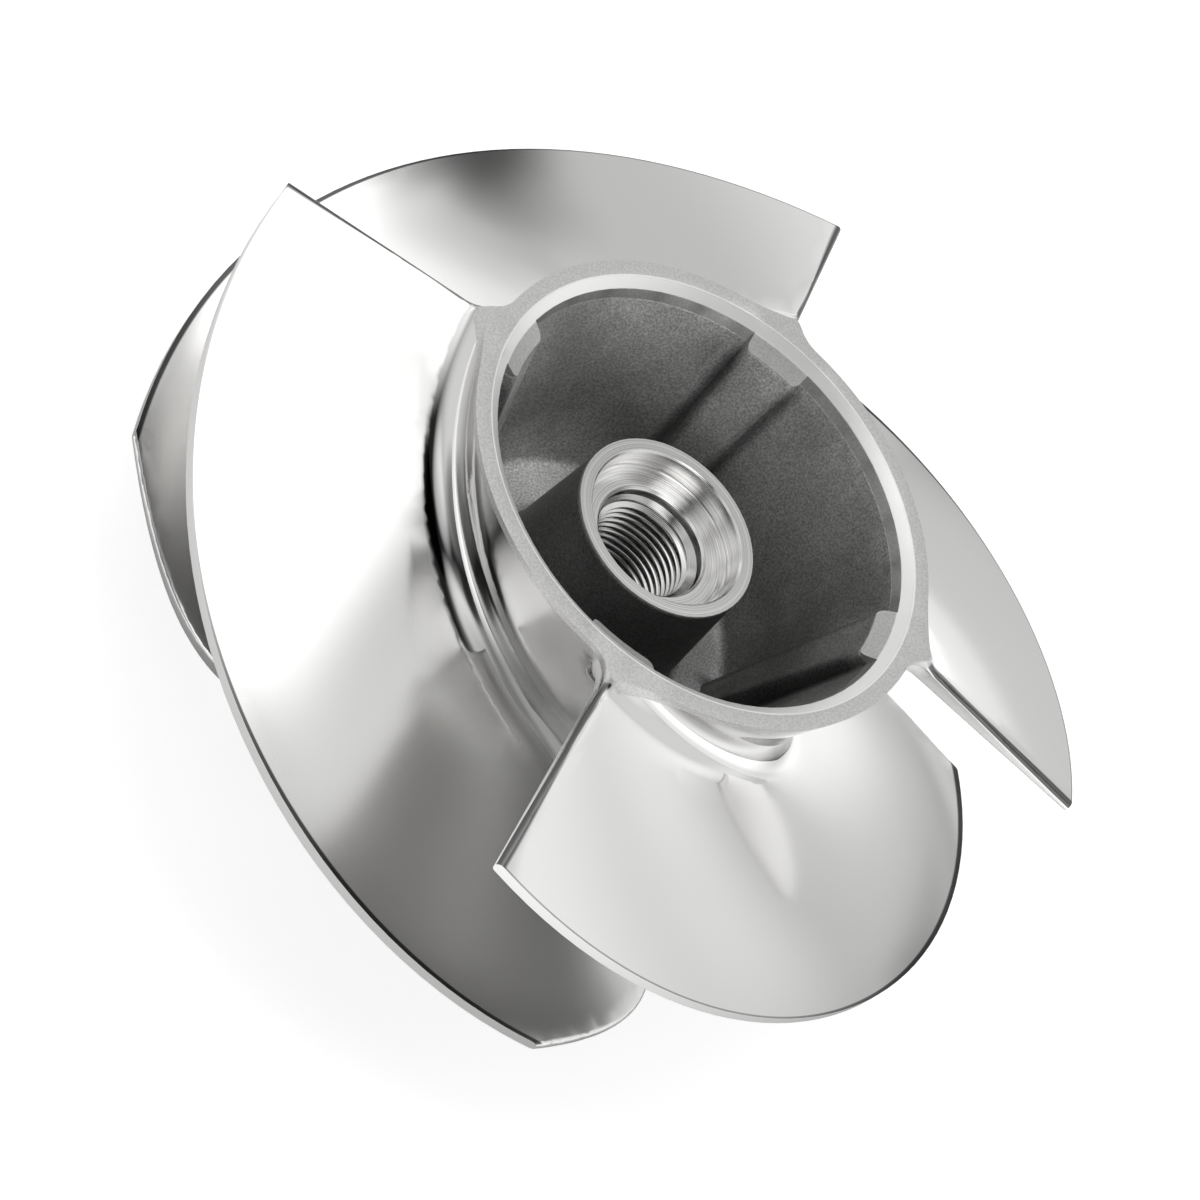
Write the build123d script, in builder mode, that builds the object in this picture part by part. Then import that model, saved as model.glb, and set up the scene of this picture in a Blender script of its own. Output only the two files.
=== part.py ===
from build123d import *
from math import cos, degrees, pi, sin
import os

os.makedirs("parts", exist_ok=True)

# Axial jet-pump impeller: one stainless investment casting with machined faces and bores.
# Axis on Z, open rear end up. The flat nose face lies on Z = 0 and the rear rim on Z = HUB_LENGTH.
# Millimetres. The blades wind as a left-hand helix: each falls towards the nose as the heading grows.

# overall size
TIP_R = 77.75  # blade tip radius, for a 155.5 mm swept diameter
HUB_LENGTH = 67.0  # nose face to rear rim
BLADE_COUNT = 4
BLADE_ANGLE = 319.56  # heading of the first trailing edge

# hub outside: one long arc from the nose to the rim, carried on past it until that end is faced off
HUB_RIM_R = 41.0
HUB_DRAFT = 0.24
HUB_BULGE = 1.12  # height of the arc over its chord
STUB = 9.0
NOSE_R = 21.0
NOSE_CHAMFER = 1.0

# pressure side of a blade where it leaves the hub: height over the rim against the wrap u from the
# trailing edge, in radians
ROOT_START = -0.15
ROOT_PITCH = -22.08
ROOT_CURVE = 5.315
ROOT_TWIST = -1.205
RAKE = 0.131  # fall per millimetre away from the hub at the trailing edge
RAKE_GROWTH = 0.0554  # added rake per radian of wrap
DROOP = 8.45  # how far the leading end hangs back towards the nose
DROOP_POWER = 2.85
DROOP_KNEE = 0.15
TIP_THICKNESS = 1.93
ROOT_GAIN = 4.6  # thickening over one tip radius towards the axis

# meridional sections that the blade is lofted through, in radians of wrap, and their stations
SECTIONS = 7
SECTION_FIRST = -0.10
SECTION_LAST = 2.72
STATIONS = [0.24, 0.45, 0.65, 0.82, 0.93, 1.03]  # shares of the tip radius

# leading edge in plan: share of the tip radius and degrees of wrap
LEADING_EDGE = [(1.0, 110.7), (0.9, 122.4), (0.8, 133.6), (0.7, 140.3), (0.55, 144.2), (0.22, 147.6)]
END_ROUND = 0.8  # on both sides of the leading and trailing ends
ROOT_FILLET = 5.4

# cavity behind the rim
RIM_LAND = 2.7
CHAMFER_WIDTH = 1.3
CHAMFER_DEPTH = 1.3
WALL_TAPER = 0.235
FLOOR_DEPTH = 38.9
FLOOR_FILLET = 2.5

# centre boss on the cavity floor
BOSS_TOP_R = 15.9
BOSS_DEPTH = 12.4
BOSS_FOOT_R = 18.0

# machined bore of the boss, from its mouth down: counterbore, seal seat, lip, relief groove, thread
COUNTERBORE_R = 13.6
COUNTERBORE_CHAMFER = 0.3
COUNTERBORE_DEPTH = 16.3
SEAT_R = 13.0
SEAT_DEPTH = 17.1
LIP_R = 9.6
LIP_CHAMFER = 0.4
GROOVE_R = 10.8
GROOVE_TOP = 17.85
GROOVE_WIDTH = 1.1
THREAD_R = 9.0  # major radius of the M18 x 1.5 thread, whose ridges stand inwards from it
THREAD_DEPTH = 43.0  # bottom of the threaded length

# front bore: plain pilot at the nose, then splines for the drive shaft
PILOT_R = 11.4
PILOT_LENGTH = 8.0
PILOT_CHAMFER = 1.0
SPLINE_MINOR_R = 10.0
SPLINE_MAJOR_R = 11.0
SPLINE_TEETH = 20
SPLINE_GAP = 1.6

# ribs down the cavity wall, one inside each trailing edge, with sloping tops
RIB_HALF_ANGLE = 8.8
RIB_TOP_WIDTH = 2.65
RIB_TOP_FALL = 1.8
RIB_FOOT_HEIGHT = 3.5
RIB_ROUND = 1.0

# overlaps that leave clean cuts and fusions
OVERCUT = 1.0
RIB_BURY = 1.3
CUTTER_MARGIN = 20.0


def pressure_side(u, r):
    s = 1.0 - r / TIP_R
    wrap = max(u, 0.0)
    root = ROOT_START + ROOT_PITCH * u + ROOT_CURVE * u**2 + ROOT_TWIST * u**3
    fall = (RAKE + RAKE_GROWTH * wrap) * (r - HUB_RIM_R)
    knee = s * (1.0 + DROOP_KNEE) / (s + DROOP_KNEE)
    return HUB_LENGTH + root - fall - DROOP * knee * (wrap / 2.0) ** DROOP_POWER


def thickness(r):
    return TIP_THICKNESS + ROOT_GAIN * (1.0 - r / TIP_R)


def in_plan(share, wrap):
    heading = (BLADE_ANGLE + wrap) * pi / 180.0
    return (share * TIP_R * cos(heading), share * TIP_R * sin(heading))


def below_rim(r, depth):
    return (r, HUB_LENGTH - depth)


def wall_r(depth):
    return HUB_RIM_R - RIM_LAND - CHAMFER_WIDTH - WALL_TAPER * depth


# one blade: meridional sections lofted round the axis, then trimmed to its outline in plan
with BuildPart(mode=Mode.PRIVATE) as blade:
    for i in range(SECTIONS):
        u = SECTION_FIRST + (SECTION_LAST - SECTION_FIRST) * i / (SECTIONS - 1)
        along = Vector(1, 0, 0).rotate(Axis.Z, BLADE_ANGLE + degrees(u))
        across = along.rotate(Axis.Z, -90)
        with BuildSketch(Plane(origin=(0, 0, 0), x_dir=along, z_dir=across)):
            upper = [(share * TIP_R, pressure_side(u, share * TIP_R)) for share in STATIONS]
            lower = [(x, y - thickness(x)) for x, y in upper]
            with BuildLine():
                top = Spline(*upper)
                Line(top @ 1, lower[-1])
                bottom = Spline(*lower[::-1])
                Line(bottom @ 1, top @ 0)
            make_face()
    loft()
    with BuildSketch(Plane.XY.offset(-CUTTER_MARGIN)):
        with BuildLine():
            root_share = LEADING_EDGE[-1][0]
            trailing = Line(in_plan(root_share, 0), in_plan(1.0, 0))
            RadiusArc(trailing @ 1, in_plan(*LEADING_EDGE[0]), -TIP_R)
            leading = Spline(*[in_plan(share, wrap) for share, wrap in LEADING_EDGE])
            RadiusArc(leading @ 1, trailing @ 0, root_share * TIP_R)
        make_face()
    extrude(amount=HUB_LENGTH + 2 * CUTTER_MARGIN, mode=Mode.INTERSECT)
    # the two long edges of the trailing end lie in one meridional plane, those of the leading end don't
    trailing_plane = Plane(origin=(0, 0, 0), x_dir=(0, 0, 1), z_dir=Vector(*in_plan(1, 90)))
    leading_point = Vector(*in_plan(*LEADING_EDGE[2]))
    long_edges = blade.edges().filter_by(lambda e: e.length > 0.5 * TIP_R)
    trailing_edges = long_edges.filter_by(lambda e: abs(trailing_plane.to_local_coords(e.center()).Z) < 0.1)
    leading_edges = long_edges.filter_by(
        lambda e: (Vector(e.center().X, e.center().Y) - leading_point).length < 0.1 * TIP_R
    )
    fillet(leading_edges, END_ROUND)
    fillet(trailing_edges, END_ROUND)

with BuildPart(mode=Mode.PRIVATE) as hub:
    with BuildSketch(Plane.XZ):
        with BuildLine():
            side = SagittaArc(below_rim(HUB_RIM_R + STUB * HUB_DRAFT, -STUB), (NOSE_R, 0), HUB_BULGE)
            Polyline(side @ 1, (0, 0), below_rim(0, -STUB), side @ 0)
        make_face()
    revolve(axis=Axis.Z)

# one rib, headed at the first trailing edge; its back is buried in the cavity wall
with BuildPart(mode=Mode.PRIVATE) as rib:
    rib_start = Vector(1, 0, 0).rotate(Axis.Z, BLADE_ANGLE - RIB_HALF_ANGLE)
    with BuildSketch(Plane(origin=(0, 0, 0), x_dir=rib_start, z_dir=rib_start.rotate(Axis.Z, -90))):
        top_r = wall_r(CHAMFER_DEPTH)
        foot = FLOOR_DEPTH + OVERCUT
        Polygon(
            below_rim(top_r, CHAMFER_DEPTH),
            below_rim(top_r - RIB_TOP_WIDTH, CHAMFER_DEPTH + RIB_TOP_FALL),
            below_rim(wall_r(FLOOR_DEPTH) - RIB_FOOT_HEIGHT, foot),
            below_rim(wall_r(foot) + RIB_BURY, foot),
            below_rim(top_r + RIB_BURY, CHAMFER_DEPTH + 2 * RIB_BURY),
            align=None,
        )
    revolve(axis=Axis.Z, revolution_arc=2 * RIB_HALF_ANGLE)
    long_rib_edges = rib.edges().filter_by(lambda e: e.length > 0.75 * FLOOR_DEPTH)
    fillet(long_rib_edges.sort_by(lambda e: e.distance_to(Vertex(0, 0, HUB_LENGTH / 2)))[:2], RIB_ROUND)

with BuildPart() as impeller:
    add(hub.part)
    blades = [blade.part.rotate(Axis.Z, 360 / BLADE_COUNT * k) for k in range(BLADE_COUNT)]
    add(blades)
    fillet(new_edges(hub.part, *blades, combined=impeller.part), ROOT_FILLET)

    # face the rear end off at the rim
    with BuildSketch(Plane.XY.offset(HUB_LENGTH)):
        Circle(TIP_R + CUTTER_MARGIN)
    extrude(amount=STUB + CUTTER_MARGIN, mode=Mode.SUBTRACT)
    chamfer(impeller.faces().sort_by(Axis.Z)[0].edges(), NOSE_CHAMFER)

    # cavity round the boss
    with BuildSketch(Plane.XZ) as cavity:
        Polygon(
            below_rim(0, -OVERCUT),
            below_rim(HUB_RIM_R - RIM_LAND + OVERCUT, -OVERCUT),
            below_rim(HUB_RIM_R - RIM_LAND, 0),
            below_rim(wall_r(CHAMFER_DEPTH), CHAMFER_DEPTH),
            below_rim(wall_r(FLOOR_DEPTH), FLOOR_DEPTH),
            below_rim(BOSS_FOOT_R, FLOOR_DEPTH),
            below_rim(BOSS_TOP_R, BOSS_DEPTH),
            below_rim(0, BOSS_DEPTH),
            align=None,
        )
        fillet(cavity.vertices().sort_by(Axis.Y)[:2], FLOOR_FILLET)
    revolve(axis=Axis.Z, mode=Mode.SUBTRACT)

    add([rib.part.rotate(Axis.Z, 360 / BLADE_COUNT * k) for k in range(BLADE_COUNT)])

    # stepped bore from the boss to the nose
    with BuildSketch(Plane.XZ):
        Polygon(
            below_rim(0, BOSS_DEPTH - OVERCUT),
            below_rim(COUNTERBORE_R + COUNTERBORE_CHAMFER + OVERCUT, BOSS_DEPTH - OVERCUT),
            below_rim(COUNTERBORE_R, BOSS_DEPTH + COUNTERBORE_CHAMFER),
            below_rim(COUNTERBORE_R, COUNTERBORE_DEPTH),
            below_rim(SEAT_R, COUNTERBORE_DEPTH),
            below_rim(SEAT_R, SEAT_DEPTH),
            below_rim(LIP_R + LIP_CHAMFER, SEAT_DEPTH),
            below_rim(LIP_R, SEAT_DEPTH + LIP_CHAMFER),
            below_rim(LIP_R, GROOVE_TOP),
            below_rim(GROOVE_R, GROOVE_TOP),
            below_rim(GROOVE_R, GROOVE_TOP + GROOVE_WIDTH),
            below_rim(LIP_R, GROOVE_TOP + GROOVE_WIDTH),
            below_rim(THREAD_R, GROOVE_TOP + GROOVE_WIDTH + LIP_R - THREAD_R),
            below_rim(THREAD_R, THREAD_DEPTH),
            below_rim(SPLINE_MINOR_R, THREAD_DEPTH),
            (SPLINE_MINOR_R, PILOT_LENGTH),
            (PILOT_R, PILOT_LENGTH),
            (PILOT_R, PILOT_CHAMFER),
            (PILOT_R + PILOT_CHAMFER + OVERCUT, -OVERCUT),
            (0, -OVERCUT),
            align=None,
        )
    revolve(axis=Axis.Z, mode=Mode.SUBTRACT)

    # gaps between the spline teeth
    with BuildSketch(Plane.XY.offset(PILOT_LENGTH)):
        with PolarLocations(SPLINE_MAJOR_R, SPLINE_TEETH):
            Rectangle(2 * (SPLINE_MAJOR_R - SPLINE_MINOR_R), SPLINE_GAP, align=(Align.MAX, Align.CENTER))
    extrude(amount=HUB_LENGTH - THREAD_DEPTH - PILOT_LENGTH, mode=Mode.SUBTRACT)

impeller.part.label = "impeller"
export_step(impeller.part, "parts/impeller.step")
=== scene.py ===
import bmesh
import bpy
from math import cos, pi, radians, sin
from types import SimpleNamespace
from mathutils import Matrix, Vector
from mathutils.kdtree import KDTree
import numpy as np


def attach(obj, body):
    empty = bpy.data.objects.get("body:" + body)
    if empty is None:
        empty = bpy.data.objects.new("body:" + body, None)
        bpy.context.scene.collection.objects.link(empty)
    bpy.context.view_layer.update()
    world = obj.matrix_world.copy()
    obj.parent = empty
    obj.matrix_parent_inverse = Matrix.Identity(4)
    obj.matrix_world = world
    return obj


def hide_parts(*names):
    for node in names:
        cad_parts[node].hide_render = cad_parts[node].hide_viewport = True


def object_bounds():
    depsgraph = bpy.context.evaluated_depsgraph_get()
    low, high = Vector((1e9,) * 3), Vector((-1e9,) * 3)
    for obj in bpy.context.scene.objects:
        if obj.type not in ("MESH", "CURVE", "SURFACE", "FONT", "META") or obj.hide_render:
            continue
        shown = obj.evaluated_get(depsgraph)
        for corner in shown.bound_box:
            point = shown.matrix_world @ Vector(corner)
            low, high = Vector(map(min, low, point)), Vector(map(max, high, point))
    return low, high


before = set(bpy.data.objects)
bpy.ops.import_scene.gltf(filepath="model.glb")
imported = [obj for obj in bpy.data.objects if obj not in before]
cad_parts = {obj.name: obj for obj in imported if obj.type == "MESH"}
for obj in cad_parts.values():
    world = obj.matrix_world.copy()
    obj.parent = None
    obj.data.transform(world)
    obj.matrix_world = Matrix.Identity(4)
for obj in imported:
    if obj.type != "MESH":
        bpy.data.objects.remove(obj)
cad_low, cad_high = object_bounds()

MM = 0.001

# sizes of the casting that the zones of its material go by, mm, and headings in degrees
TIP_R = cad_high[0] / MM
HUB_LENGTH = cad_high[2] / MM  # nose face to rear rim
HUB_RIM_R = 41.0
HUB_BULGE = 1.0  # the hub's side stands about this far outside a cone from the nose to the rim
NOSE_R = 21.0
BLADE_COUNT = 4
BLADE_ANGLE = 319.56  # heading of the first trailing edge
PARTING_DEPTH = 5.0  # surface between an upper blade and the one below it: its depth at the axis,
PARTING_FALL = 20.0  # how far it falls over one radian of wrap
PARTING_RAKE = 0.2  # and over one millimetre outwards
RIM_LAND = 2.7
CHAMFER_WIDTH = 1.3
CHAMFER_DEPTH = 1.3
WALL_TAPER = 0.235
FLOOR_DEPTH = 38.9
RIB_HALF_ANGLE = 8.8
RIB_TOP_WIDTH = 2.65
RIB_TOP_FALL = 1.8
BOSS_TOP_R = 15.9
BOSS_DEPTH = 12.4
BOSS_FOOT_R = 18.0
COUNTERBORE_R = 13.6
GROOVE_TOP = 17.85

BLADE_STEP = 2 * pi / BLADE_COUNT
HUB_SLOPE = (HUB_RIM_R - NOSE_R) / HUB_LENGTH
RIM_INNER_R = HUB_RIM_R - RIM_LAND
CAVITY_R = RIM_INNER_R - CHAMFER_WIDTH  # at the foot of the chamfer
RIB_TOP_R = CAVITY_R - RIB_TOP_WIDTH  # inner end of the ribs' sloping tops
RIB_TOP_DEPTH = CHAMFER_DEPTH + RIB_TOP_FALL

# dark lines of painted shade inside the blades' edges: widths in mm at their narrow and their wide end
TIP_SHADE_LINE = (0.3, 0.95)
END_SHADE_LINE = (0.5, 1.5)

# texture: noise scales per metre, lathe marks and relief in mm
GRAIN_SCALE = 2600
PIT_SCALE = 700
CLOUD_SCALE = 55
SHEEN_SCALE = 18
MARKS_SCALE = 2.2  # per millimetre of the turned profile
RING_SPACING = 0.35
RING_HEIGHT = 0.0025
SATIN_HEIGHT = 0.02
BLASTED_HEIGHT = 0.05

# painted light and shade in the cavity: the heading of its painted lighter side in degrees, and how much
# lighter it is than the mean; the opposite side is painted as much darker
LIT_HEADING = 300
LIT_GAIN = 0.33

# internal thread M18 x 1.5 in the boss, mm
THREAD_R = 9.0
THREAD_PITCH = 1.5
THREAD_HEIGHT = 0.812
THREAD_TOP = 47.45
THREAD_FOOT = 24.2
THREAD_STEPS = 64  # sections per turn
HALF_FOOT = THREAD_PITCH * 7 / 16
HALF_CREST = THREAD_PITCH / 8
WALL_GAP = 0.005  # keeps the ridge's foot off the bore wall
ENTRY_LIFT = 0.8 * HALF_FOOT  # how far above the top the ridge begins, where the lead-in cuts it
LAST_RUNOUT = 4  # sections of the run-out that the ridge's end leaves

# normals of the smooth skin
WELD = 1e-6  # vertices this close are one
SHARP_ANGLE = radians(28)
NORMAL_GRID = 200  # corners whose normals agree to one part in this share one
NEIGHBOURS = 20
SAME_SHEET = radians(14)  # neighbours whose normals differ by more count little
OTHER_SHEET = 0.5  # and under this cosine they don't count
SAME_POINT = 1e-7  # a neighbour nearer than this is the point itself
FIT_DAMPING = np.diag([1e-3, 1e-3, 2e-3, 2e-3, 2e-3])
FIT_ROUNDS = 2
FIT_DRIFT = cos(radians(9))  # a fitted normal that leaves its first value by more is dropped

# floor, metres: mirror rays find its glow painted dark under the part as a painted shadow, bright round it
# and a little darker far off
FLOOR_HALF = 6.0
FLOOR_TONE = 0.5
CAMERA_GLOW = 0.76
SHADOW_REACH, BRIGHT_REACH = 0.085, 0.14
SHADOW_GLOW, BRIGHT_GLOW = 0.1, 0.95
FADE_START, FADE_END = 0.25, 0.7
FAR_SHARE = 0.65

# room: soft round panels by heading, height, inner and outer radius in degrees, and brightness
ROOM_LIGHT = 0.02
PANELS = [
    (240, 80, 15, 28, 1.15),
    (208, -6, 8, 55, 0.7),
    (142, 11, 6, 51, 0.8),
    (262, 22, 24, 35, 0.65),
    (332, 8, 10, 58, 0.78),
    (78, 13, 3, 48, 0.8),
    (247, 55, 9, 19, 0.45),
    (176, 61, 11, 34, 0.77),
    (14, 41, 2, 20, 0.6),
    (301, 64, 12, 26, 1.05),
    (174, 27, 2, 21, 0.35),
    (68, 32, 8, 26, 1.0),
    (218, 44, 3, 12, 0.3),
]
# dark cards in front of the panels, by the same measures, and the share of light they hold back
CARDS = [
    (205, 24, 5, 9, 0.6),
    (253, 45, 1, 8, 0.95),
    (255, 51, 1, 5, 0.5),
    (260, 45, 1, 4, 0.45),
    (265, 47, 1, 4, 0.35),
    (270, 51, 1, 4, 0.3),
    (54, 67, 10, 14, 0.97),
    (6, 0, 7, 25, 0.65),
    (41, 11, 3, 13, 0.85),
]

# camera: lens and sensor in mm, place and clipping in metres
LENS = 77.99
SENSOR = 36.0
CAMERA_PLACE = (0.237176, 0.173714, 0.331514)
CAMERA_RIGHT = (-0.821748, 0.229839, 0.521444)
CAMERA_UP = (0.0507, -0.881937, 0.468634)
CLIP_START, CLIP_END = 0.01, 20.0


class Nodes:
    """Short calls for building a node tree. Numbers and sockets can both be given as inputs."""

    def __init__(self, tree):
        self.tree = tree
        tree.nodes.clear()

    def add(self, kind, **settings):
        node = self.tree.nodes.new(kind)
        for key, value in settings.items():
            setattr(node, key, value)
        return node

    def put(self, socket, value):
        if isinstance(value, bpy.types.NodeSocket):
            self.tree.links.new(value, socket)
        else:
            socket.default_value = value

    def math(self, operation, a, b=0.0):
        node = self.add("ShaderNodeMath", operation=operation)
        self.put(node.inputs[0], a)
        self.put(node.inputs[1], b)
        return node.outputs[0]

    def plus(self, a, b):
        return self.math("ADD", a, b)

    def minus(self, a, b):
        return self.math("SUBTRACT", a, b)

    def times(self, a, b):
        return self.math("MULTIPLY", a, b)

    def over(self, a, b):
        return self.math("DIVIDE", a, b)

    def modulo(self, a, b):
        return self.math("FLOORED_MODULO", a, b)

    def absolute(self, value):
        return self.math("ABSOLUTE", value)

    def either(self, a, b):
        return self.math("MAXIMUM", a, b)

    def both(self, *masks):
        product = masks[0]
        for mask in masks[1:]:
            product = self.times(product, mask)
        return product

    def step(self, value, low, high, at_low=0.0, at_high=1.0):
        node = self.add("ShaderNodeMapRange", interpolation_type="SMOOTHSTEP")
        self.put(node.inputs["Value"], value)
        self.put(node.inputs["From Min"], low)
        self.put(node.inputs["From Max"], high)
        self.put(node.inputs["To Min"], at_low)
        self.put(node.inputs["To Max"], at_high)
        return node.outputs[0]

    def mix(self, factor, a, b):
        node = self.add("ShaderNodeMix", data_type="FLOAT")
        self.put(node.inputs[0], factor)
        self.put(node.inputs[2], a)
        self.put(node.inputs[3], b)
        return node.outputs[0]

    def noise(self, vector, scale, detail=2.0, roughness=0.5):
        node = self.add("ShaderNodeTexNoise")
        self.put(node.inputs["Vector"], vector)
        self.put(node.inputs["Scale"], scale)
        self.put(node.inputs["Detail"], detail)
        self.put(node.inputs["Roughness"], roughness)
        return node.outputs["Fac"]


def grey(value):
    return (value, value, value, 1.0)


def placed(name, data):
    thing = bpy.data.objects.new(name, data)
    bpy.context.scene.collection.objects.link(thing)
    return thing


def shaded_point(n):
    """Where the shaded point is on the casting, in mm and radians, and how its surface faces."""
    coordinates = n.add("ShaderNodeTexCoord")
    place = coordinates.outputs["Object"]
    split = n.add("ShaderNodeSeparateXYZ")
    n.put(split.inputs[0], place)
    x, y, z = [n.times(socket, 1 / MM) for socket in split.outputs]
    r = n.math("SQRT", n.plus(n.times(x, x), n.times(y, y)))
    facing = n.add("ShaderNodeSeparateXYZ")
    n.put(facing.inputs[0], coordinates.outputs["Normal"])
    normal_x, normal_y, up = facing.outputs
    heading = n.math("ARCTAN2", y, x)
    from_end = n.minus(heading, radians(BLADE_ANGLE))
    # each heading has an upper blade and, overhung by it, a lower one that is a step further in wrap
    wrap = n.modulo(from_end, BLADE_STEP)
    fall = n.plus(n.times(wrap, PARTING_FALL), n.times(r, PARTING_RAKE))
    lower = n.math("LESS_THAN", z, n.minus(HUB_LENGTH - PARTING_DEPTH, fall))
    return SimpleNamespace(
        place=place,
        z=z,
        r=r,
        depth=n.minus(HUB_LENGTH, z),
        off_hub=n.minus(r, n.plus(n.times(z, HUB_SLOPE), NOSE_R + HUB_BULGE)),
        heading=heading,
        from_end=from_end,
        wrap=n.plus(wrap, n.times(lower, BLADE_STEP)),
        up=up,
        along=n.over(n.minus(n.times(x, normal_y), n.times(y, normal_x)), r),
    )


def machined_zones(n, p):
    """Masks of the rim, the cavity and the turned faces. Each reaches a little past its surface."""
    wall = n.minus(CAVITY_R + 0.6, n.times(p.depth, WALL_TAPER))
    in_wall = n.step(n.minus(wall, p.r), -0.1, 0.1)
    below_chamfer = n.step(p.depth, CHAMFER_DEPTH - 0.05, CHAMFER_DEPTH + 0.1)
    rim = n.both(
        n.step(p.depth, CHAMFER_DEPTH + 0.15, CHAMFER_DEPTH),
        n.step(p.r, CAVITY_R - 1.0, CAVITY_R - 0.6),
        n.step(p.r, HUB_RIM_R + 3.5, HUB_RIM_R + 3.2),
    )
    from_edge = n.absolute(n.minus(p.r, RIM_INNER_R + 0.05))
    boss_top = n.both(
        n.step(p.r, BOSS_TOP_R + 0.25, BOSS_TOP_R + 0.05),
        n.step(p.depth, BOSS_DEPTH + 0.35, BOSS_DEPTH + 0.1),
    )
    bore = n.step(p.r, COUNTERBORE_R + 0.3, COUNTERBORE_R + 0.2)
    nose = n.both(n.step(p.r, NOSE_R + 0.5, NOSE_R), n.step(p.z, 0.3, 0.2))
    # distance round the wall from the crease beside the nearest rib, one of which is inside each blade's end
    from_rib = n.minus(n.modulo(n.plus(p.from_end, BLADE_STEP / 2), BLADE_STEP), BLADE_STEP / 2)
    from_crease = n.minus(n.absolute(from_rib), radians(RIB_HALF_ANGLE + 0.4))
    from_crease = n.absolute(n.times(from_crease, p.r))
    return SimpleNamespace(
        cavity=n.both(in_wall, below_chamfer, n.step(p.depth, FLOOR_DEPTH + 1.0, FLOOR_DEPTH + 0.7)),
        rib_top=n.both(
            n.step(p.r, RIB_TOP_R - 1.35, RIB_TOP_R - 0.15),
            n.step(p.depth, RIB_TOP_DEPTH + 0.4, RIB_TOP_DEPTH + 0.1),
            in_wall,
            below_chamfer,
        ),
        rim=rim,
        # the chamfer and the rim's inner edge get painted light
        chamfer=n.both(rim, n.step(p.r, RIM_INNER_R, RIM_INNER_R - 0.2)),
        rim_highlight=n.both(rim, n.step(from_edge, 0.22, 0.08)),
        turned=n.either(n.either(boss_top, bore), nose),
        thread=n.both(bore, n.step(p.depth, GROOVE_TOP - 0.35, GROOVE_TOP + 0.15)),
        # the creases beside the ribs and the boss wall get painted shade
        crease=n.both(n.step(from_crease, 2.2, 0.2), n.step(p.r, 22.0, 26.0), n.step(p.depth, 2.0, 8.0)),
        boss_wall_shade=n.both(
            n.step(p.r, BOSS_FOOT_R + 0.6, BOSS_FOOT_R + 0.2),
            n.step(p.depth, BOSS_DEPTH, BOSS_DEPTH + 1.0),
        ),
    )


def polished_zones(n, p):
    """Masks of the outside, where the polish of the blades changes and where light and shade are painted on
    the blades and the hub.
    """
    upward = n.step(p.up, 0.2, 0.4)
    # the dark lines of painted shade inside the edges widen where the blade droops, and along its end towards
    # the tip
    tip_width = n.step(p.wrap, radians(40), radians(85), *TIP_SHADE_LINE)
    end_width = n.step(p.r, 45.0, 77.0, *END_SHADE_LINE)
    in_tip_line = n.step(n.over(n.minus(TIP_R, p.r), tip_width), 1.1, 0.7)
    in_end_line = n.step(n.over(n.times(p.wrap, p.r), end_width), 1.1, 0.7)
    return SimpleNamespace(
        # less polished: the stretch of a blade that the next one overhangs, and the undersides, which also
        # get painted shade low down and painted light near the rim
        overhung=n.both(n.step(p.wrap, radians(50), radians(85)), n.step(p.off_hub, 3.0, 8.0)),
        shaded_underside=n.both(n.step(p.up, -0.25, -0.5), n.step(p.off_hub, 2.0, 4.0)),
        # end faces of the trailing edges, which look back against the turn, and the round below them, which
        # is painted light
        end_face=n.both(n.step(p.along, 0.15, -0.25), upward, n.step(p.off_hub, 2.0, 3.0)),
        painted_light_below_end=n.both(n.step(p.along, -0.4, -0.55), n.step(p.up, 0.1, -0.1)),
        tip_shade_line=n.both(in_tip_line, n.step(p.up, 0.65, 0.8)),
        end_shade_line=n.both(in_end_line, upward, n.step(p.off_hub, 2.0, 5.0)),
        # painted shade on the hub where it is steep and deep between the blades
        steep_hub_shade=n.both(n.step(p.up, 0.3, 0.0), n.step(p.off_hub, 5.0, 3.0), n.step(p.z, 12.0, 20.0)),
        deep_hub_shade=n.both(n.step(p.z, 53.0, 45.0), n.step(p.z, 8.0, 16.0), n.step(p.off_hub, 6.0, 2.5)),
    )


def surface_textures(n, p):
    """Noise patterns in the casting's skin, and lathe marks that run round the axis."""
    profile = n.plus(p.r, p.z)
    lathe = n.add("ShaderNodeCombineXYZ")
    n.put(lathe.inputs[0], profile)
    return SimpleNamespace(
        grain=n.noise(p.place, GRAIN_SCALE, 2.0, 0.6),
        pits=n.noise(p.place, PIT_SCALE, 3.0, 0.6),
        cloud=n.noise(p.place, CLOUD_SCALE, 3.0, 0.5),
        sheen=n.noise(p.place, SHEEN_SCALE, 2.0),
        marks=n.noise(lathe.outputs[0], MARKS_SCALE, 2.0, 0.7),
        rings=n.math("SINE", n.times(profile, 2 * pi / RING_SPACING)),
    )


def blasted_tone(n, p, machined, texture):
    """Cloudy and grainy, with painted light on one side and painted shade on the other, and painted shade in
    the creases and up the boss wall.
    """
    tone = n.mix(n.step(texture.cloud, 0.35, 0.65), 0.42, 0.6)
    # painted light on one side of the cavity and painted shade on the other
    painted_light_side = n.math("COSINE", n.minus(p.heading, radians(LIT_HEADING)))
    tone = n.times(tone, n.plus(n.times(painted_light_side, LIT_GAIN), 1.0))
    tone = n.times(tone, n.step(texture.grain, 0.3, 0.7, 0.7, 1.25))
    # painted shade in the creases beside the ribs and up the boss wall
    tone = n.mix(machined.crease, tone, n.times(tone, 0.4))
    return n.mix(machined.boss_wall_shade, tone, n.times(tone, 0.35))


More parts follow.
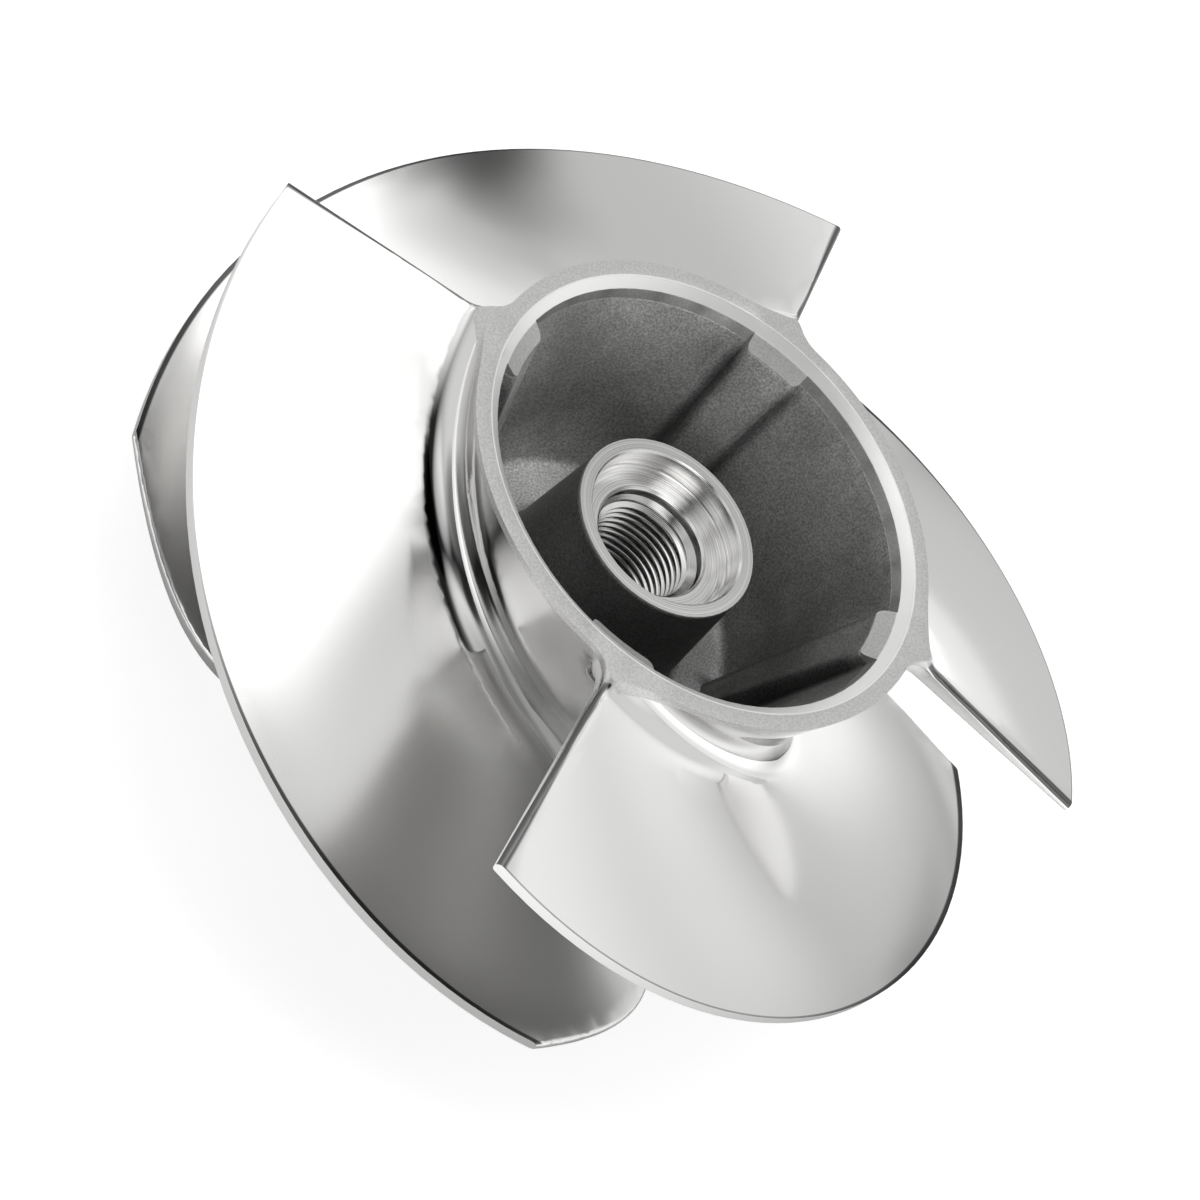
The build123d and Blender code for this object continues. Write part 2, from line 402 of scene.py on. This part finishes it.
def finish(n, p, machined, polished, texture):
    """Tone and roughness of the casting, laid on zone by zone."""
    tone = n.mix(texture.sheen, 0.74, 0.79)
    rough = n.step(p.off_hub, 4.0, 9.0, 0.05, 0.12)
    satin = n.mix(n.step(texture.grain, 0.3, 0.7), 0.6, 0.74)
    turned = n.mix(n.step(texture.marks, 0.35, 0.65), 0.72, 0.94)
    coats = [
        # zone, tone and roughness; each coat covers the ones before it, and None leaves them as they are
        # painted shade on the steep hub wall, and darker painted shade low on the hub between the blades
        (polished.steep_hub_shade, 0.5, None),
        (polished.deep_hub_shade, 0.22, None),
        (polished.overhung, None, 0.27),
        # the undersides: painted shade low down, painted light near the rim
        (polished.shaded_underside, n.step(p.z, 34.0, 54.0, 0.26, 0.95), 0.38),
        # painted shade: a dark line inside each blade's tip
        (polished.tip_shade_line, n.step(p.wrap, radians(35), radians(70), 0.36, 0.08), None),
        (polished.end_face, n.mix(texture.pits, 0.14, 0.32), 0.35),
        # painted shade: a dark line along each trailing end
        (polished.end_shade_line, 0.15, None),
        # painted light on the round below the trailing ends
        (polished.painted_light_below_end, 0.95, 0.7),
        # the cavity's tone holds painted light and shade: lighter on one side, darker in the creases and up
        # the boss wall
        (machined.cavity, blasted_tone(n, p, machined, texture), 0.6),
        (machined.rib_top, n.times(satin, 0.8), 0.48),
        (machined.rim, satin, 0.42),
        # painted highlight on the rim's chamfer and inner edge
        (machined.chamfer, 0.95, None),
        (machined.rim_highlight, 1.0, None),
        (machined.turned, turned, 0.17),
        (machined.thread, 0.66, None),
    ]
    for zone, coat_tone, coat_rough in coats:
        if coat_tone is not None:
            tone = n.mix(zone, tone, coat_tone)
        if coat_rough is not None:
            rough = n.mix(zone, rough, coat_rough)
    return tone, rough


def relief_normal(n, machined, texture):
    """Blasted pits, satin grain on the rim and the rib tops, and lathe rings, in mm."""
    relief = n.mix(machined.cavity, 0.0, n.times(n.plus(texture.grain, texture.pits), BLASTED_HEIGHT))
    satin = n.either(machined.rim, machined.rib_top)
    relief = n.mix(satin, relief, n.times(texture.grain, SATIN_HEIGHT))
    relief = n.mix(machined.turned, relief, n.times(texture.rings, RING_HEIGHT))
    bump = n.add("ShaderNodeBump")
    n.put(bump.inputs["Height"], relief)
    n.put(bump.inputs["Distance"], MM)
    n.put(bump.inputs["Strength"], 1.0)
    return bump.outputs[0]


def cast_stainless():
    """Polished outside, satin rim, blasted cavity and turned bores, told apart by place and slope, with
    painted light and shade laid on some zones.
    """
    material = bpy.data.materials.new("cast_stainless")
    material.use_nodes = True
    n = Nodes(material.node_tree)
    p = shaded_point(n)
    machined = machined_zones(n, p)
    texture = surface_textures(n, p)
    tone, rough = finish(n, p, machined, polished_zones(n, p), texture)
    colour = n.add("ShaderNodeCombineColor")
    for socket, tint in zip(colour.inputs, (1.004, 1.0, 0.99)):
        n.put(socket, n.times(tone, tint))
    shader = n.add("ShaderNodeBsdfPrincipled")
    n.put(shader.inputs["Metallic"], 1.0)
    n.put(shader.inputs["Base Color"], colour.outputs[0])
    n.put(shader.inputs["Roughness"], rough)
    n.put(shader.inputs["Normal"], relief_normal(n, machined, texture))
    n.put(n.add("ShaderNodeOutputMaterial").inputs[0], shader.outputs[0])
    return material


def floor_white():
    """A pale sheet. It glows near white to camera and mirror rays, except for a painted shadow in the glow
    under the part that mirror rays see, and its lit part keeps the real shadow.
    """
    material = bpy.data.materials.new("floor_white")
    material.use_nodes = True
    n = Nodes(material.node_tree)
    lit = n.add("ShaderNodeBsdfDiffuse")
    n.put(lit.inputs[0], grey(FLOOR_TONE))
    rays = n.add("ShaderNodeLightPath")
    seen = n.times(rays.outputs["Is Camera Ray"], CAMERA_GLOW)
    mirrored = n.either(rays.outputs["Is Glossy Ray"], rays.outputs["Is Transmission Ray"])
    reach = n.add("ShaderNodeVectorMath", operation="LENGTH")
    n.put(reach.inputs[0], n.add("ShaderNodeTexCoord").outputs["Object"])
    distance = reach.outputs["Value"]
    # painted shadow: the glow that mirror rays see is dark near the part
    near = n.step(distance, SHADOW_REACH, BRIGHT_REACH, SHADOW_GLOW, BRIGHT_GLOW)
    far = n.step(distance, FADE_START, FADE_END, 1.0, FAR_SHARE)
    glow = n.add("ShaderNodeEmission")
    n.put(glow.inputs["Strength"], n.plus(seen, n.times(mirrored, n.times(near, far))))
    total = n.add("ShaderNodeAddShader")
    n.put(total.inputs[0], lit.outputs[0])
    n.put(total.inputs[1], glow.outputs[0])
    n.put(n.add("ShaderNodeOutputMaterial").inputs[0], total.outputs[0])
    return material


def studio_floor():
    mesh = bpy.data.meshes.new("floor")
    corners = [(-1, -1), (1, -1), (1, 1), (-1, 1)]
    mesh.from_pydata([(x * FLOOR_HALF, y * FLOOR_HALF, 0) for x, y in corners], [], [(0, 1, 2, 3)])
    mesh.materials.append(floor_white())
    placed("floor", mesh)


def studio_world():
    """A dark room with large soft panels, and plain white where the camera looks past the floor."""
    world = bpy.data.worlds.new("studio")
    bpy.context.scene.world = world
    world.use_nodes = True
    n = Nodes(world.node_tree)
    toward = n.add("ShaderNodeTexCoord").outputs["Generated"]

    def patch(heading, height, inner, outer):
        a, e = radians(heading), radians(height)
        dot = n.add("ShaderNodeVectorMath", operation="DOT_PRODUCT")
        n.put(dot.inputs[0], toward)
        n.put(dot.inputs[1], (cos(a) * cos(e), sin(a) * cos(e), sin(e)))
        return n.step(dot.outputs["Value"], cos(radians(outer)), cos(radians(inner)))

    light = ROOM_LIGHT
    for *place, brightness in PANELS:
        light = n.plus(light, n.times(patch(*place), brightness))
    for *place, held_back in CARDS:
        light = n.times(light, n.minus(1.0, n.times(patch(*place), held_back)))
    light = n.mix(n.add("ShaderNodeLightPath").outputs["Is Camera Ray"], light, 1.0)
    background = n.add("ShaderNodeBackground")
    n.put(background.inputs["Strength"], light)
    n.put(background.inputs["Color"], grey(1.0))
    n.put(n.add("ShaderNodeOutputWorld").inputs[0], background.outputs[0])


def photo_camera():
    """The viewing angle of the photograph, with the shaft axis leaning to the upper left."""
    data = bpy.data.cameras.new("photo_camera")
    data.lens = LENS
    data.sensor_width = SENSOR
    data.clip_start = CLIP_START
    data.clip_end = CLIP_END
    camera = placed("photo_camera", data)
    right = Vector(CAMERA_RIGHT)
    up = Vector(CAMERA_UP)
    turned = Matrix((right, up, right.cross(up))).transposed().to_4x4()
    camera.matrix_world = Matrix.Translation(CAMERA_PLACE) @ turned
    bpy.context.scene.camera = camera


def in_threes(items, key, kind, per_item=1):
    """One property of all the items in rows of three: the corners of a triangle, or a vector."""
    values = np.zeros(len(items) * per_item, kind)
    items.foreach_get(key, values)
    return values.reshape(-1, 3)


def smooth_shading(mesh):
    mesh.set_sharp_from_angle(angle=SHARP_ANGLE)
    mesh.polygons.foreach_set("use_smooth", np.ones(len(mesh.polygons), bool))


def welded(source, name):
    """A mesh of the source's triangles with vertices in one place joined, and the joined places."""
    places = in_threes(source.vertices, "co", np.float32, 3).astype(float)
    grid = np.round(places / WELD).astype(np.int64)
    _, first, merged = np.unique(grid, axis=0, return_index=True, return_inverse=True)
    points = places[first]
    triangles = merged.reshape(-1)[in_threes(source.loops, "vertex_index", np.int32)]
    whole = (triangles != np.roll(triangles, 1, axis=1)).all(axis=1)
    mesh = bpy.data.meshes.new(name)
    mesh.from_pydata(points.tolist(), [], triangles[whole].tolist())
    mesh.validate()
    smooth_shading(mesh)
    return mesh, points


def unit(vectors):
    return vectors / np.linalg.norm(vectors, axis=1, keepdims=True)


def fitted_normals(at, start, size):
    """Normals at the places, each of a curved sheet fitted to its neighbours, with start as first value."""
    tree = KDTree(len(at))
    for i, place in enumerate(at):
        tree.insert(place, i)
    tree.balance()
    near = np.array([[j for _, j, _ in tree.find_n(place, NEIGHBOURS)] for place in at])
    away = at[near] - at[:, None]
    reach = np.sqrt((away ** 2).sum(2))
    scale = np.median(reach, axis=1, keepdims=True) + WELD
    by_reach = np.exp(-(reach / scale) ** 2) * (reach > SAME_POINT)
    by_size = size[near][:, :, 0] / (size[near][:, :, 0] + size)
    normal = start.copy()
    for _ in range(FIT_ROUNDS):
        # two axes across each normal, the first of them square to X or Y
        along_x = np.abs(normal[:, :1]) >= 0.8
        side = unit(np.cross(normal, np.where(along_x, [[0, 1.0, 0]], [[1.0, 0, 0]])))
        other = np.cross(normal, side)
        u, v, h = [np.einsum("ijk,ik->ij", away, axis) / scale for axis in (side, other, normal)]
        agree = np.einsum("ijk,ik->ij", normal[near], normal)
        by_sheet = np.exp(-2 * (1 - np.minimum(agree, 1)) / SAME_SHEET ** 2) * (agree > OTHER_SHEET)
        weight = by_reach * by_sheet * by_size
        terms = np.stack([u, v, u * u, u * v, v * v], 2)
        left = np.einsum("ij,ijk,ijl->ikl", weight, terms, terms) + FIT_DAMPING
        right = np.einsum("ij,ijk,ij->ik", weight, terms, h)
        slope = np.linalg.solve(left, right[..., None])[..., 0]
        normal = unit(normal - side * slope[:, :1] - other * slope[:, 1:2])
    ran_off = (normal * start).sum(1) < FIT_DRIFT
    normal[ran_off] = start[ran_off]
    return normal


def smooth_skin(node, name):
    """The node's surface in one welded mesh, each normal taken from the curve of its neighbours."""
    mesh, points = welded(node.data, name)
    triangles = in_threes(mesh.loops, "vertex_index", np.int32)
    corners = triangles.reshape(-1)
    normals = in_threes(mesh.corner_normals, "vector", np.float32, 3).astype(float)
    key = np.column_stack([corners, np.round(normals * NORMAL_GRID).astype(np.int64)])
    _, first, shared = np.unique(key, axis=0, return_index=True, return_inverse=True)
    shared = shared.reshape(-1)
    at = points[corners[first]]
    # the first value is the mean of the faces round it, each weighed by its area
    a, b, c = [points[triangles[:, k]] for k in range(3)]
    total = np.zeros_like(at)
    np.add.at(total, shared, np.cross(b - a, c - a).repeat(3, 0))
    normal = fitted_normals(at, unit(total), np.linalg.norm(total, axis=1, keepdims=True))
    mesh.normals_split_custom_set(normal[shared].tolist())
    return placed(name, mesh)


def shaft_thread(name):
    """One helical ridge inwards from the bore wall, cut by the lead-in at its top and run out below."""
    profile = [(HALF_FOOT, 0.0), (HALF_CREST, THREAD_HEIGHT), (-HALF_CREST, THREAD_HEIGHT), (-HALF_FOOT, 0.0)]
    count = int((THREAD_TOP - THREAD_FOOT) / THREAD_PITCH * THREAD_STEPS)
    points, faces = [], []
    for i in range(count + 1):
        turn = i / THREAD_STEPS
        angle = 2 * pi * turn
        middle = THREAD_TOP + ENTRY_LIFT - THREAD_PITCH * turn
        runout = min(1.0, (count - i + LAST_RUNOUT) / THREAD_STEPS)
        for lift, height in profile:
            z = min(middle + lift, THREAD_TOP)
            r = THREAD_R - WALL_GAP - min(height * runout, THREAD_TOP - z)
            points.append((r * cos(angle) * MM, -r * sin(angle) * MM, z * MM))
    wide = len(profile)
    for i in range(count):
        for j in range(wide):
            a, b = wide * i + j, wide * i + (j + 1) % wide
            faces.append((a, a + wide, b + wide, b))
    faces.append(tuple(range(wide)))
    faces.append(tuple(reversed(range(wide * count, wide * count + wide))))
    mesh = bpy.data.meshes.new(name)
    mesh.from_pydata(points, [], faces)
    body = bmesh.new()
    body.from_mesh(mesh)
    bmesh.ops.remove_doubles(body, verts=body.verts, dist=WELD)
    bmesh.ops.recalc_face_normals(body, faces=body.faces)
    body.to_mesh(mesh)
    body.free()
    smooth_shading(mesh)
    return placed(name, mesh)


skin = smooth_skin(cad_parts["impeller"], "impeller_casting")
steel = cast_stainless()
skin.data.materials.append(steel)
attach(skin, "root")
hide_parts("impeller")
thread = shaft_thread("shaft_thread")
thread.data.materials.append(steel)
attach(thread, "root")
studio_floor()
studio_world()
photo_camera()
bpy.context.scene.view_settings.view_transform = "Standard"
